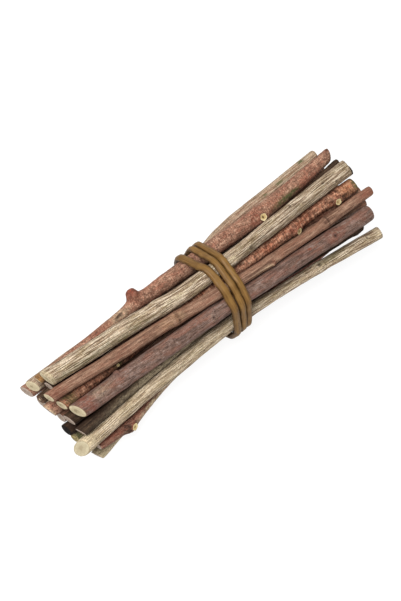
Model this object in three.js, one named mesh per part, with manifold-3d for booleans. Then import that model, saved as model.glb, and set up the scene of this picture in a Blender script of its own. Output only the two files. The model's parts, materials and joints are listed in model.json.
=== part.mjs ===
// A bundle of cut twigs, held together by a rubber band wound round them three times.
// Millimetres. The twigs run along +X, the bundle lies on its side and +Z is up.
// The origin is under the middle of the bundle, on the surface that it lies on.

import * as THREE from 'three';
import Module from 'manifold-3d';
import { mergeVertices } from 'three/addons/utils/BufferGeometryUtils.js';

const wasm = await Module();
wasm.setup();

// Driving dimensions of the bundle
const BAND_X = 7;
const SURFACE_Z = -20.6;
const STACK_RADIUS = 17.4;
const HELD_LENGTH = 9;
const GAP = 0.42;
const PRESSED_FLAT = 0.25;

// Driving dimensions of the rubber band
const BAND_WIDTHS = [3.3, 2.8, 2.7];
const BAND_PLACES = [-3.75, 0, 3.05];
const BAND_TURNS = BAND_PLACES.length;
const BAND_THICKNESS = 2.1;
const BAND_FLARE = 3.4;
const BAND_SQUEEZE = 0.18;
const BAND_SQUEEZE_AT = 0.52;
const BAND_SQUEEZE_SPREAD = 0.12;
const BAND_START_ANGLE = 15;
const BAND_CLEARANCE = 0.4;
const BAND_CROSSING_GAP = 0.5;
const BAND_STEPS_PER_TURN = 26;
const BAND_SIDES = 8;

// Fineness of the twigs
const TWIG_SIDES = 10;
const SLICE = 10;
const FIRST_SLICE_X = -90;
const SLICE_COUNT = 19;
const CLOSEST_RINGS = 2;
const SAME_PLACE = 0.001;
const NODE_HALF_LENGTH = 2.6;

// Shapes of the side shoots, as shares of their radius and height
const SNAG_SIDES = 8;
const STUB_TIP = 0.85;
const STUB_FOOT = 1.25;
const BUD_LENGTH = 1.5;
const BUD_RISE = 1.4;

const BARK = {
  red_brown: { color: 0x96664f, roughness: 0.78 },
  grey_green: { color: 0x9c9272, roughness: 0.86 },
  rust: { color: 0x935a3e, roughness: 0.72 },
  rose_tan: { color: 0xa87f66, roughness: 0.55 },
  mauve: { color: 0x85706a, roughness: 0.6 },
  grey_tan: { color: 0x9a8a72, roughness: 0.85 },
  dark_brown: { color: 0x5c4538, roughness: 0.82 },
  dark_red: { color: 0x74443a, roughness: 0.75 },
};
const RUBBER = { color: 0xb5894a, roughness: 0.5 };

// Each twig is described by stations along it, from its left end to its right end: [x, y, z, radius].
// Their y and z are measured from the middle of the stack at the band. firm is how hard it is for
// the neighbours to push it aside. nodes are the x of its swollen joints. Slants say how far the
// cut at an end leans along X for each millimetre of y and z. snags are side shoots: stubs with a
// cut face, or buds, and their turn is measured round the twig from straight up, towards +Y.
const TWIGS = [
  {
    name: 'twig_01', bark: 'red_brown', firm: 6,
    stations: [
      [-74, 3.9, 9.8, 1.8], [-31, 8.3, 8.9, 2.15], [-15, 9.6, 9, 3.2], [2, 10.9, 8, 3.55],
      [23, 11.6, 8.6, 3.5], [43, 12.4, 9.7, 3.4], [64, 14.1, 11.7, 3.05], [75.9, 15.4, 12.9, 2.8],
    ],
    nodes: [-24.5, 39], slantLeft: [-0.2, -0.35], slantRight: [0.3, 0.2],
    snags: [
      { kind: 'bud', x: -24.2, turn: 48, radius: 1.5, height: 2.8 },
      { kind: 'stub', x: 38.2, turn: -52, radius: 1.5, height: 0.9 },
    ],
  },
  {
    name: 'twig_02', bark: 'grey_green', firm: 9,
    stations: [
      [-72.5, 0.3, 14.4, 3.5], [-26, -0.5, 13.9, 3.45], [-10, -1, 13.7, 3.45], [3, -0.5, 13.9, 3.35],
      [17, 0.1, 14.2, 3], [31, 1.5, 14.7, 3.1], [48, 2.7, 15, 3.2], [77, 5.3, 15.1, 3.45],
    ],
    nodes: [-19.8], slantLeft: [-0.25, -0.2], slantRight: [0.1, -0.2], snags: [],
  },
  {
    name: 'twig_03', bark: 'rose_tan', firm: 9,
    stations: [
      [-75.9, -5.2, 11.9, 2.25], [-26, -6.8, 12.3, 2.6], [-10, -7.4, 12.1, 2.45],
      [5, -7.9, 11.7, 2.45], [19, -8.6, 10.9, 2.15], [60, -7.5, 10.2, 2.1], [79.5, -6.7, 10.1, 2],
    ],
    nodes: [-17, 27, 57], slantLeft: [-0.4, -0.1], slantRight: [0, 0.1],
    snags: [{ kind: 'bud', x: 27, turn: -92, radius: 1, height: 0.7 }],
  },
  {
    name: 'twig_04', bark: 'mauve', firm: 9,
    stations: [[-69, -13.9, 5.8, 3.55], [7, -12.5, 6.6, 3.4], [74.5, -11.8, 5.8, 3.15]],
    nodes: [-49, -4, 56], slantLeft: [-0.5, 0], slantRight: [0, 0.1], snags: [],
  },
  {
    name: 'twig_05', bark: 'grey_green', firm: 7,
    stations: [
      [-73.5, -21.1, -5.7, 3.2], [-48, -17.8, -4.7, 3.3], [-26, -15.3, -4.1, 3.4], [7, -13.5, -3.8, 2.75],
      [24, -13.6, -3.9, 2.3], [77, -16.2, -4.9, 2.5],
    ],
    nodes: [47], slantLeft: [-0.35, 0.7], slantRight: [0.1, -0.1], snags: [],
  },
  {
    name: 'twig_06', bark: 'rust', firm: 5,
    stations: [
      [-72.2, -7.7, 5.6, 2.4], [7, -2.5, 8, 2.5], [25, -1.8, 8.7, 2.4], [41, -1.3, 9, 2.6],
      [60, 0.1, 9.7, 2.45], [69, 0, 9.7, 2.95], [76.2, -0.2, 9.6, 3.15],
    ],
    nodes: [45, 66.5], slantLeft: [-0.4, -0.05], slantRight: [0, -0.1],
    snags: [
      { kind: 'stub', x: 44.5, turn: -72, radius: 1.4, height: 0.9 },
      { kind: 'stub', x: 66, turn: -76, radius: 1.5, height: 1.1 },
      { kind: 'stub', x: -46, turn: -52, radius: 1.1, height: 0.8 },
    ],
  },
  {
    name: 'twig_07', bark: 'grey_tan', firm: 3,
    stations: [
      [-75.2, 6, 4.2, 2.9], [7, 14, 1.1, 2.8], [17, 16, 3, 2.8],
      [27, 17.6, 4.5, 2.8], [42, 18.7, 6.1, 2.7], [73.5, 19.9, 9.6, 2.6],
    ],
    nodes: [], slantLeft: [-0.5, 0.1], slantRight: [0, 0.1], snags: [],
  },
  {
    name: 'twig_08', bark: 'dark_brown', firm: 2,
    stations: [[-71.6, 2.2, 7.3, 2.1], [7, 4.5, 9, 2], [38, 6, 9, 1.9], [76.5, 10.6, 12.7, 1.9]],
    nodes: [], slantLeft: [-0.3, -0.1], slantRight: [0, 0.2], snags: [],
  },
  {
    name: 'twig_09', bark: 'dark_brown', firm: 1,
    stations: [[-76, -0.7, 4.7, 2.1], [7, 6.7, 4.1, 2.2], [80.6, 7.1, 9.2, 2.2]],
    nodes: [], slantLeft: [-0.25, 0], slantRight: [0, -0.1], snags: [],
  },
  {
    name: 'twig_10', bark: 'red_brown', firm: 2,
    stations: [[-75.8, -4.5, 1.1, 3], [7, 0.7, 3, 2.7], [78.7, -0.8, 4.6, 2.2]],
    nodes: [-60], slantLeft: [-0.25, -0.35], slantRight: [0, 0.1], snags: [],
  },
  {
    name: 'twig_11', bark: 'rose_tan', firm: 1,
    stations: [[-72.2, -8.3, -4.1, 2.4], [7, -5, 1.8, 2.3], [77, -7, 3.2, 2.2]],
    nodes: [], slantLeft: [-0.2, 0], slantRight: [0.1, 0], snags: [],
  },
  {
    name: 'twig_12', bark: 'dark_brown', firm: 2,
    stations: [[-72, -11.7, -0.1, 2.8], [7, -7.8, -3.5, 2.5], [71, -11.6, -0.2, 1.7]],
    nodes: [68], slantLeft: [-0.3, -0.2], slantRight: [0, 0.2], snags: [],
  },
  {
    name: 'twig_13', bark: 'dark_brown', firm: 2,
    stations: [[-71.3, -17.7, -1.2, 2.2], [7, -9.1, 1.9, 2.4], [74, -3, -0.9, 2]],
    nodes: [-30], slantLeft: [-0.4, -0.35], slantRight: [0, 0.1], snags: [],
  },
  {
    name: 'twig_14', bark: 'dark_brown', firm: 1,
    stations: [[-73.6, -10.7, -4.7, 2.6], [7, -6.2, -8.1, 2.6], [76, 0.5, -5.4, 2.3]],
    nodes: [], slantLeft: [-0.2, 0], slantRight: [0, -0.1], snags: [],
  },
  {
    name: 'twig_15', bark: 'grey_green', firm: 1,
    stations: [[-71.2, -14.8, -10.3, 2.3], [7, -1.3, -9, 2.4], [75, 6.8, -7.5, 2.2]],
    nodes: [], slantLeft: [-0.2, 0.1], slantRight: [0, 0.1], snags: [],
  },
  {
    name: 'twig_16', bark: 'dark_red', firm: 3,
    stations: [
      [-66.6, -21.6, -11.2, 2.1], [-54, -21.7, -11.6, 2.1], [-46, -20.1, -11.3, 2.1],
      [-37.5, -17.4, -10.8, 2], [-20, -14.2, -10.2, 2.1], [7, -11.6, -9.7, 2.1], [72, -1.3, -18.8, 2.4],
    ],
    nodes: [-52], slantLeft: [-0.2, -0.1], slantRight: [0, 0.1],
    snags: [{ kind: 'stub', x: -52, turn: -58, radius: 1.5, height: 1 }],
  },
  {
    name: 'twig_17', bark: 'grey_tan', firm: 3,
    stations: [[-67.1, -21.6, -18.6, 2.3], [7, -6.5, -13.5, 2.4], [74, 8, -19, 2.3]],
    nodes: [-45], slantLeft: [-0.45, -0.45], slantRight: [0, 0.1], snags: [],
  },
  {
    name: 'twig_18', bark: 'grey_green', firm: 2,
    stations: [[-67.4, -17.5, -19, 2.2], [7, 1.2, -14.5, 2.4], [77, 14, -19.1, 2.2]],
    nodes: [], slantLeft: [-0.3, 0], slantRight: [0, -0.1], snags: [],
  },
  {
    name: 'twig_19', bark: 'red_brown', firm: 2,
    stations: [[-76.8, 8.7, -1.3, 2.9], [7, 13.4, -5.3, 2.7], [75, 16, 2, 2.4]],
    nodes: [-50], slantLeft: [-0.35, -0.1], slantRight: [0, 0.1], snags: [],
  },
  {
    name: 'twig_20', bark: 'grey_tan', firm: 1,
    stations: [[-70, 9.8, -18.5, 2.7], [7, 7.8, -11.8, 2.7], [72, 19.5, -19, 2.4]],
    nodes: [30], slantLeft: [-0.2, 0], slantRight: [0, -0.1], snags: [],
  },
  {
    name: 'twig_21', bark: 'mauve', firm: 1,
    stations: [[-67, -3, -10.5, 2.5], [7, 5.5, -6.8, 2.5], [74, 14.5, -10, 2.3]],
    nodes: [], slantLeft: [0, -0.1], slantRight: [0, 0.1], snags: [],
  },
  {
    name: 'twig_22', bark: 'rust', firm: 1,
    stations: [[-71, 2.5, -5.5, 2.4], [7, 0.3, -2.8, 2.4], [76, 8, -1.5, 2.3]],
    nodes: [], slantLeft: [0.1, 0], slantRight: [0, 0], snags: [],
  },
];

// How the twigs settle against each other
const SETTLE_PASSES = 400;
const LAST_PASSES = 60;
const STIFFNESS = 0.45;
const PULL_BACK = 0.01;
const CROOK = 0.25;
const CROOK_LENGTH = 46;
const SWELL = 0.22;

function mix(a, b, t) {
  return a + (b - a) * t;
}

// A smooth curve through a twig's stations. column is 1 for y, 2 for z and 3 for the radius
function stationValue(twig, x, column) {
  const { stations } = twig;
  const last = stations.length - 1;
  const slope = (i, j) => (stations[j][column] - stations[i][column]) / (stations[j][0] - stations[i][0]);
  const tangent = (i) => slope(Math.max(i - 1, 0), Math.min(i + 1, last));
  const next = THREE.MathUtils.clamp(stations.findIndex((station) => station[0] > x), 0, last);
  const i = next === 0 ? (x < stations[0][0] ? 0 : last - 1) : next - 1;
  const length = stations[i + 1][0] - stations[i][0];
  const t = THREE.MathUtils.clamp((x - stations[i][0]) / length, 0, 1);
  const inside = mix(
    stations[i][column] + tangent(i) * length * t,
    stations[i + 1][column] - tangent(i + 1) * length * (1 - t),
    THREE.MathUtils.smoothstep(t, 0, 1),
  );
  const beyond = x - THREE.MathUtils.clamp(x, stations[0][0], stations[last][0]);
  return inside + beyond * tangent(beyond < 0 ? 0 : last);
}

function ends(twig) {
  return [twig.stations[0][0], twig.stations.at(-1)[0]];
}

function radiusAt(twig, x) {
  const atNode = twig.nodes.some((node) => Math.abs(x - node) < NODE_HALF_LENGTH / 2);
  return stationValue(twig, THREE.MathUtils.clamp(x, ...ends(twig)), 3) + (atNode ? SWELL : 0);
}

// How low the middle of a twig of this radius can lie: pressed a little flat on the surface
function lowestMiddle(radius) {
  return SURFACE_Z + radius - PRESSED_FLAT;
}

function intendedMiddle(twig, x, index) {
  const phase = 2 * Math.PI * (x - BAND_X) / CROOK_LENGTH;
  const y = stationValue(twig, x, 1) + CROOK * Math.sin(phase + index) * Math.sin(index * 2.4);
  const z = stationValue(twig, x, 2) + CROOK * Math.sin(phase - index) * Math.cos(index * 1.7);
  return new THREE.Vector2(y, Math.max(z, lowestMiddle(radiusAt(twig, x))));
}

function sliceX(k) {
  return FIRST_SLICE_X + SLICE * k;
}

// A twig's line: where its middle is meant to be at each slice, and where it has been pushed to
function startLine(twig, index) {
  const [leftX, rightX] = ends(twig);
  const slices = Array.from({ length: SLICE_COUNT }, (_, k) => sliceX(k));
  const intended = slices.map((x) => intendedMiddle(twig, x, index));
  return {
    twig,
    intended,
    middle: intended.map((point) => point.clone()),
    radius: slices.map((x) => radiusAt(twig, x)),
    present: slices.map((x) => x > leftX - SLICE && x < rightX + SLICE),
  };
}

function pushApart(lines, k) {
  const between = new THREE.Vector2();
  lines.forEach((a, i) => {
    lines.slice(i + 1).forEach((b) => {
      if (!a.present[k] || !b.present[k]) return;
      between.subVectors(b.middle[k], a.middle[k]);
      const distance = between.length();
      const missing = a.radius[k] + b.radius[k] + GAP - distance;
      if (missing <= 0) return;
      between.multiplyScalar(missing / distance);
      const share = b.twig.firm / (a.twig.firm + b.twig.firm);
      a.middle[k].addScaledVector(between, -share);
      b.middle[k].addScaledVector(between, 1 - share);
    });
  });
}

function keepInside(line, k) {
  const middle = line.middle[k];
  const radius = line.radius[k];
  if (Math.abs(sliceX(k) - BAND_X) < HELD_LENGTH) {
    middle.clampLength(0, STACK_RADIUS - radius);
  }
  middle.y = Math.max(middle.y, lowestMiddle(radius));
}

// A twig is stiff: it takes up a push along its length, and springs back a little
function straighten(line) {
  const pushes = line.middle.map((point, k) => point.clone().sub(line.intended[k]));
  line.middle.forEach((point, k) => {
    const before = pushes[Math.max(k - 1, 0)];
    const after = pushes[Math.min(k + 1, SLICE_COUNT - 1)];
    const smooth = before.clone().add(after).multiplyScalar(0.5);
    const push = pushes[k].clone().lerp(smooth, STIFFNESS).multiplyScalar(1 - PULL_BACK);
    point.addVectors(line.intended[k], push);
  });
}

function settle(lines) {
  for (let pass = 0; pass < SETTLE_PASSES; pass += 1) {
    if (pass < SETTLE_PASSES - LAST_PASSES) lines.forEach(straighten);
    for (let k = 0; k < SLICE_COUNT; k += 1) {
      pushApart(lines, k);
      lines.forEach((line) => keepInside(line, k));
    }
  }
}

function middleAt(line, x) {
  const place = THREE.MathUtils.clamp((x - FIRST_SLICE_X) / SLICE, 0, SLICE_COUNT - 1.001);
  const k = Math.floor(place);
  return line.middle[k].clone().lerp(line.middle[k + 1], place - k);
}

// Manifold solids from closed three.js geometries, and back
function toSolid(geometry) {
  const bare = new THREE.BufferGeometry();
  bare.setAttribute('position', geometry.getAttribute('position'));
  bare.setIndex(geometry.getIndex());
  const merged = mergeVertices(bare, 1e-4);
  const index = merged.getIndex().array;
  const kept = [];
  for (let i = 0; i < index.length; i += 3) {
    const [a, b, c] = [index[i], index[i + 1], index[i + 2]];
    if (a !== b && b !== c && c !== a) kept.push(a, b, c);
  }
  return new wasm.Manifold(new wasm.Mesh({
    numProp: 3,
    vertProperties: Float32Array.from(merged.getAttribute('position').array),
    triVerts: Uint32Array.from(kept),
  }));
}

function toGeometry(solid) {
  const mesh = solid.getMesh();
  const geometry = new THREE.BufferGeometry();
  geometry.setAttribute('position', new THREE.BufferAttribute(mesh.vertProperties, 3));
  geometry.setIndex(new THREE.BufferAttribute(mesh.triVerts, 1));
  geometry.computeVertexNormals();
  return geometry;
}

// Where a twig has its rings: at its ends, at the slices, and before, on and after each node
function ringPlaces(twig) {
  const aroundNodes = twig.nodes.flatMap((x) => [x - NODE_HALF_LENGTH, x, x + NODE_HALF_LENGTH]);
  const fixed = [...ends(twig), ...aroundNodes];
  const [leftX, rightX] = ends(twig);
  const slices = Array.from({ length: SLICE_COUNT }, (_, k) => sliceX(k)).filter((x) => (
    x > leftX && x < rightX && fixed.every((place) => Math.abs(place - x) > CLOSEST_RINGS)
  ));
  return [...fixed, ...slices].filter((x) => x >= leftX && x <= rightX).sort((a, b) => a - b);
}

// A turned rod whose rings are then moved onto the twig's line, with its ends cut at a slant
function stemSolid(line) {
  const { twig } = line;
  const places = ringPlaces(twig);
  const profile = [
    new THREE.Vector2(0, places[0]),
    ...places.map((x) => new THREE.Vector2(radiusAt(twig, x), x)),
    new THREE.Vector2(0, places.at(-1)),
  ];
  const geometry = new THREE.LatheGeometry(profile, TWIG_SIDES);
  const position = geometry.getAttribute('position');
  for (let i = 0; i < position.count; i += 1) {
    const x = position.getY(i);
    const across = position.getX(i);
    const up = -position.getZ(i);
    const middle = middleAt(line, x);
    let slant = [0, 0];
    if (Math.abs(x - places[0]) < SAME_PLACE) slant = twig.slantLeft;
    if (Math.abs(x - places.at(-1)) < SAME_PLACE) slant = twig.slantRight;
    const lean = slant[0] * across + slant[1] * up;
    position.setXYZ(i, x + lean, middle.x + across, middle.y + up);
  }
  return toSolid(geometry);
}

function placeSnag(geometry, line, snag, sunk) {
  const turn = THREE.MathUtils.degToRad(snag.turn);
  const middle = middleAt(line, snag.x);
  const reach = radiusAt(line.twig, snag.x) - sunk;
  geometry.rotateX(Math.PI / 2 - turn);
  geometry.translate(snag.x, middle.x + reach * Math.sin(turn), middle.y + reach * Math.cos(turn));
  return toSolid(geometry);
}

function stubSolid(line, snag) {
  const sunk = snag.radius;
  const length = snag.height + sunk;
  const tip = STUB_TIP * snag.radius;
  const foot = STUB_FOOT * snag.radius;
  const geometry = new THREE.CylinderGeometry(tip, foot, length, SNAG_SIDES);
  geometry.translate(0, length / 2, 0);
  return placeSnag(geometry, line, snag, sunk);
}

function budSolid(line, snag) {
  const geometry = new THREE.SphereGeometry(1, SNAG_SIDES, 6);
  geometry.scale(BUD_LENGTH * snag.radius, BUD_RISE * snag.height, snag.radius);
  return placeSnag(geometry, line, snag, (BUD_RISE - 1) * snag.height);
}

function twigSolid(line, table) {
  let solid = stemSolid(line);
  for (const snag of line.twig.snags) {
    const side = snag.kind === 'bud' ? budSolid(line, snag) : stubSolid(line, snag);
    solid = solid.add(side);
  }
  return solid.subtract(table);
}

// The outermost point of the stack near x in the direction of normal, moved out by clearance
function stackEdge(lines, x, width, normal, clearance) {
  const edge = new THREE.Vector3();
  let furthest = -Infinity;
  for (const line of lines) {
    for (const sideX of [x - width / 2, x + width / 2]) {
      const middle = middleAt(line, sideX);
      const radius = radiusAt(line.twig, sideX);
      const reach = middle.x * normal.y + middle.y * normal.z + radius;
      if (reach > furthest) {
        furthest = reach;
        edge.set(x, middle.x, middle.y).addScaledVector(normal, radius + clearance);
      }
    }
  }
  return edge;
}

// The turns bunch together, and each is narrower, where they pass low round the front
function squeeze(part) {
  return 1 - BAND_SQUEEZE * Math.exp(-(((part - BAND_SQUEEZE_AT) / BAND_SQUEEZE_SPREAD) ** 2));
}

// The band's turns lie side by side over the top, and change places behind the bundle.
// There the last turn crosses back over the others to join the first.
function bandRoute(lines) {
  const changeStart = 0.72;
  const crossing = BAND_THICKNESS + BAND_CROSSING_GAP;
  const flareAt = 0.07;
  const flareLength = 0.08;
  const route = [];
  for (let step = 0; step < BAND_TURNS * BAND_STEPS_PER_TURN; step += 1) {
    const turns = step / BAND_STEPS_PER_TURN;
    const turn = Math.floor(turns);
    const part = turns - turn;
    const change = THREE.MathUtils.smoothstep(part, changeStart, 1);
    const last = turn === BAND_TURNS - 1;
    const next = (turn + 1) % BAND_TURNS;
    const place = mix(BAND_PLACES[turn], BAND_PLACES[next], change);
    const width = mix(BAND_WIDTHS[turn], BAND_WIDTHS[next], change) * squeeze(part);
    const fromFlare = last ? part - 1 - flareAt : turns - flareAt;
    const flare = BAND_FLARE * Math.exp(-((fromFlare / flareLength) ** 2));
    const x = BAND_X + place * squeeze(part) - flare;
    const rise = last ? crossing * Math.sin(Math.PI * change) : 0;
    const angle = 2 * Math.PI * part + THREE.MathUtils.degToRad(BAND_START_ANGLE);
    const clearance = BAND_CLEARANCE + BAND_THICKNESS / 2 + rise;
    const normal = new THREE.Vector3(0, Math.cos(angle), Math.sin(angle));
    route.push({ point: stackEdge(lines, x, width, normal, clearance), normal, width });
  }
  return route;
}

// A closed loop swept along the route, with a flattened round section
function bandSolid(lines) {
  const route = bandRoute(lines);
  const along = new THREE.Vector3(1, 0, 0);
  const corners = [];
  const index = [];
  route.forEach(({ point, normal, width }, i) => {
    for (let side = 0; side < BAND_SIDES; side += 1) {
      const angle = 2 * Math.PI * (side + 0.5) / BAND_SIDES;
      const corner = point.clone()
        .addScaledVector(along, width / 2 * Math.cos(angle))
        .addScaledVector(normal, BAND_THICKNESS / 2 * Math.sin(angle));
      corners.push(...corner.toArray());
      const here = i * BAND_SIDES;
      const next = ((i + 1) % route.length) * BAND_SIDES;
      const beside = (side + 1) % BAND_SIDES;
      index.push(here + side, next + beside, next + side);
      index.push(here + side, here + beside, next + beside);
    }
  });
  const geometry = new THREE.BufferGeometry();
  geometry.setAttribute('position', new THREE.Float32BufferAttribute(corners, 3));
  geometry.setIndex(index);
  return toSolid(geometry);
}

function named(name, solid, finish) {
  const material = new THREE.MeshStandardMaterial({ ...finish, metalness: 0 });
  const mesh = new THREE.Mesh(toGeometry(solid), material);
  mesh.name = name;
  return mesh;
}

// The solid below the surface that the bundle lies on
function tableSolid() {
  const depth = 20;
  const width = 400;
  return toSolid(new THREE.BoxGeometry(width, width, depth).translate(0, 0, SURFACE_Z - depth / 2));
}

const lines = TWIGS.map(startLine);
settle(lines);
const table = tableSolid();

const group = new THREE.Group();
for (const line of lines) {
  group.add(named(line.twig.name, twigSolid(line, table), BARK[line.twig.bark]));
}
group.add(named('rubber_band', bandSolid(lines), RUBBER));

// Bring the middle of the bundle over the origin
const box = new THREE.Box3().setFromObject(group);
const middle = box.getCenter(new THREE.Vector3());
group.position.set(-middle.x, -middle.y, -SURFACE_Z);

export default group;
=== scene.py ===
# A bundle of cut twigs of mixed bark, held together by a rubber band wound round them three times.
# Every twig is rebuilt as a fine mesh round the line of its CAD solid, with its bark's relief, its
# joints, scars, buds, cut side shoots and cut ends. Lengths are in millimetres until a mesh is made.
import json
import math

import bpy
import numpy as np
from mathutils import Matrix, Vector

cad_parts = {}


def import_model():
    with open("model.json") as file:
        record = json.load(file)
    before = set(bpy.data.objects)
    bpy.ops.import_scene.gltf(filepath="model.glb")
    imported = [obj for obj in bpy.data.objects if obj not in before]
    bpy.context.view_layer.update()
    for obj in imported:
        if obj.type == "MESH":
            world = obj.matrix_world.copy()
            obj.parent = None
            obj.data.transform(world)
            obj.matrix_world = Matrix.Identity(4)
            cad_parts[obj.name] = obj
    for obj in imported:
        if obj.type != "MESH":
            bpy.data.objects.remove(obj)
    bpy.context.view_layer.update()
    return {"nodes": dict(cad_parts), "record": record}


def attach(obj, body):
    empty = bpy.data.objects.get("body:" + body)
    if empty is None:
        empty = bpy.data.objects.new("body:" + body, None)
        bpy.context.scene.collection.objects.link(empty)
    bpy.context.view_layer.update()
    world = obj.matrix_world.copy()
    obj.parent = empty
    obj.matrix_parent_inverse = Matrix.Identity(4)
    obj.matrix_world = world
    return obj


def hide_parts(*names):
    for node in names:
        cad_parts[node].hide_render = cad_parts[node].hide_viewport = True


MM = 0.001

# The photo's camera: it looks down at the bundle from its left end and its near side
CAMERA_AZIMUTH = -38.3
CAMERA_ELEVATION = 57.0
CAMERA_DISTANCE = 900.0
CAMERA_TARGET = (-0.92, 2.15, 17.79)
CAMERA_VIEW_ANGLE = 14.72
CAMERA_CLIP_START = 10.0

# The floor, the even daylight and the key light, in metres and watts
FLOOR_HALF = 3.0
FLOOR = (110, 110, 110)
FLOOR_GLOW = 0.9
DAYLIGHT = 0.5
KEY_PLACE = (-0.45, -0.12, 1.15)
KEY_SIZE = 0.7
KEY_WATTS = 22

# Reading a twig's line and radius from its solid. A section's circle is fitted three times. In between,
# only its nearest points are kept: that share of them, or all within the tolerance, a share of its radius.
CORNER_DIGITS = 4
SECTION_STEP = 2.0
SECTION_INSET = 0.8
FIT_SHARES = (0.7, 0.8)
FIT_TOLERANCE = 0.06
LINE_STEP = 0.25
LINE_MARGIN = 4.0
SLOPE_SECTIONS = 3
LINE_SMOOTHING = 3.0
END_CORNERS = 10

# Fineness of the twigs' meshes
NEAR_SIDES = 88
NEAR_STEP = 0.5
HIDDEN_SIDES = 56
HIDDEN_STEP = 0.8

# Places of the materials in a twig's list
BARK_PLACE = 0
CUT_PLACE = 1
STUB_PLACE = 2

# Reach of a cut's slant along the twig, angle of a sharp edge, and least height over the floor
SLANT_REACH = 8.0
SHARP_ANGLE = 48.0
LOWEST = 0.02

# Cut faces: rings from the rim to the heart, reach and depth of the worn edge, bulge and unevenness of
# the face, and how far its heart is off the middle
CAP_RINGS = (0.965, 0.9, 0.78, 0.6, 0.4, 0.2)
CUT_EDGE = 0.35
CUT_WEAR = 0.12
CUT_BULGE = 0.12
CUT_UNEVEN = 0.018
HEART_OFF = 0.22

# Cut side shoots: fineness, depth of the foot in the twig, its width and taper as shares of the radius,
# hollow of the cut, count and size of the waves round them, and their paint
STUB_SIDES = 24
STUB_ROWS = 8
STUB_SUNK = 1.2
STUB_FOOT = 1.25
STUB_TAPER = 0.4
STUB_HOLLOW = 0.12
STUB_WAVES = ((2, 0.07), (5, 0.05))
STUB_PAINT = {"blush": 0.4, "stain_and_shade": 0.25}

# Noise on the skin: columns round the twig, length of its cells, and how far the columns wander
LUMPS = (4, 9)
CREASES = (5, 1.1, 0.02)
SCALES = (26, 0.9)
BREAKS = (34, 0.7)

# Furrows: how far the long and the short ones wander, their shares, how narrow the long ones are, and the
# shade of creases
LONG_WANDER = 0.03
SHORT_WANDER = 0.02
LONG_SHARE = 0.75
SHORT_SHARE = 0.35
FURROW_NARROWNESS = 0.7
CREASE_SHADE = 4.0

# Joints: reach of the swelling, and place, width and depth, or shade, of the rings on it. The depth is a
# share of the swelling's height.
NODE_REACH = 1.9
NODE_RINGS = ((0.5, 0.32, 0.28), (-0.7, 0.26, 0.2))
NODE_SHADES = ((0.5, 0.35, 0.9), (-0.7, 0.3, 0.6))

# Buds: bluntness of the knob, unevenness of its scales, height of its wide foot, and shades
BUD_BLUNTNESS = 6
BUD_UNEVEN = 0.25
BUD_FOOT = 0.2
BUD_GAP_SHADE = 0.9
BUD_RIM_SHADE = 0.6

# Scars: height of the rim and how whole it is, depth of the dimple, shade of the rings, and stain
SCAR_RIM = 0.16
SCAR_WHOLE = 0.6
SCAR_DIMPLE = 0.14
SCAR_SHADE = 1.1
SCAR_STAIN = 1.3
# Patches: strength of their middle
PATCH_MIDDLE = 1.3

# The spur: half its width, place, half width and depth of the furrow beside it, and the paint of the two
SPUR_WIDTH = 0.5
GROOVE_PLACE = -0.9
GROOVE_WIDTH = 0.3
GROOVE_DEPTH = 0.5
SPUR_PALE = 0.4
# Painted shade in the furrow beside the spur
GROOVE_SHADE = 0.8

# Collars of side shoots: their height, and spacing, height and shade of their wrinkles
COLLAR_HEIGHT = 0.55
WRINKLE_SPACING = 0.8
WRINKLE_HEIGHT = 0.05
WRINKLE_SHADE = 0.6

# Shift of a twig's grain from the next one's, so that no two look the same
GRAIN_SHIFT = (61.0, 17.0, 0.0)

# The rubber band: its place along the twigs, and the width and place of each turn
BAND_X = 5.52
BAND_TURNS = 3
BAND_WIDTHS = (3.3, 2.8, 2.7)
BAND_PLACES = (-3.75, 0.0, 3.05)
BAND_THICKNESS = 2.1
# Angle where it starts and where in a turn it changes place. How much, where and for how long it
# flares, bunches together and sags.
BAND_START_ANGLE = 15
BAND_CHANGE_START = 0.72
BAND_FLARE = 3.4
BAND_FLARE_AT = 0.07
BAND_FLARE_LENGTH = 0.08
BAND_SQUEEZE = 0.18
BAND_SQUEEZE_AT = 0.52
BAND_SQUEEZE_SPREAD = 0.12
BAND_SAGS = (0.7, 0.4, 0.1)
BAND_SAG_AT = 0.56
BAND_SAG_SPREAD = 0.05
# Its gaps to the twigs and where it crosses itself, its steps and their smoothing, and its section
BAND_CLEARANCE = 0.15
BAND_CROSSING_GAP = 0.3
BAND_STEPS_PER_TURN = 240
BAND_SPACING = 0.35
BAND_SMOOTHING = 1.1
BAND_DRIFT_SMOOTHING = 5.0
BAND_SIDES = 28
BAND_FLATNESS = 0.8
BAND_ROUNDNESS = 0.85
BAND_UNEVEN = 0.05
BAND_UNEVEN_STEPS = 6
BAND_SEED = 5

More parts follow.
